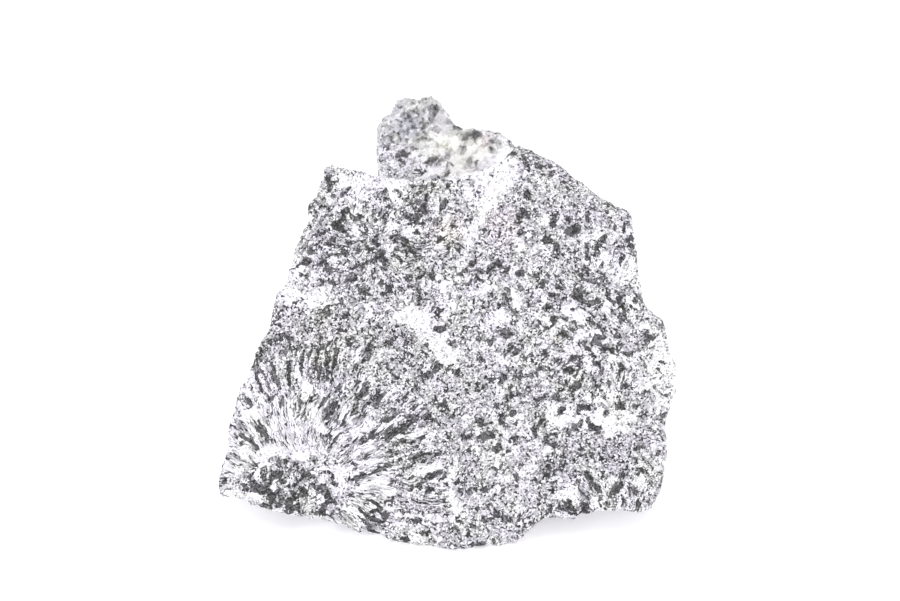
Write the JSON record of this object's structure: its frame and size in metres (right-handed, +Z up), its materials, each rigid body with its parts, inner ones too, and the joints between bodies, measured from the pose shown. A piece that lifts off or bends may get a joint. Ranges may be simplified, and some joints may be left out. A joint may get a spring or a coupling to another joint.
{
  "type": "orbicular granite specimen",
  "caption": "Broken chunk of orbicular granite with a broad leaning face, a curved lip, a hollow behind it and a knob at the back.",
  "frame": {"origin": "centre of the stone's box, at the level of the surface that it rests on", "axes": "+X to the right as the broad leaning face is looked at, +Y away from that face to the knob at the back, +Z up"},
  "size_m": [0.1102, 0.0998, 0.0702],
  "materials": {
    "granite": "rough broken crystalline surface: white and blue-grey feldspar with near-black biotite in radiating blades and fine grains"
  },
  "bodies": {
    "root": {"orbicular_granite": "granite"}
  },
  "joints": []
}
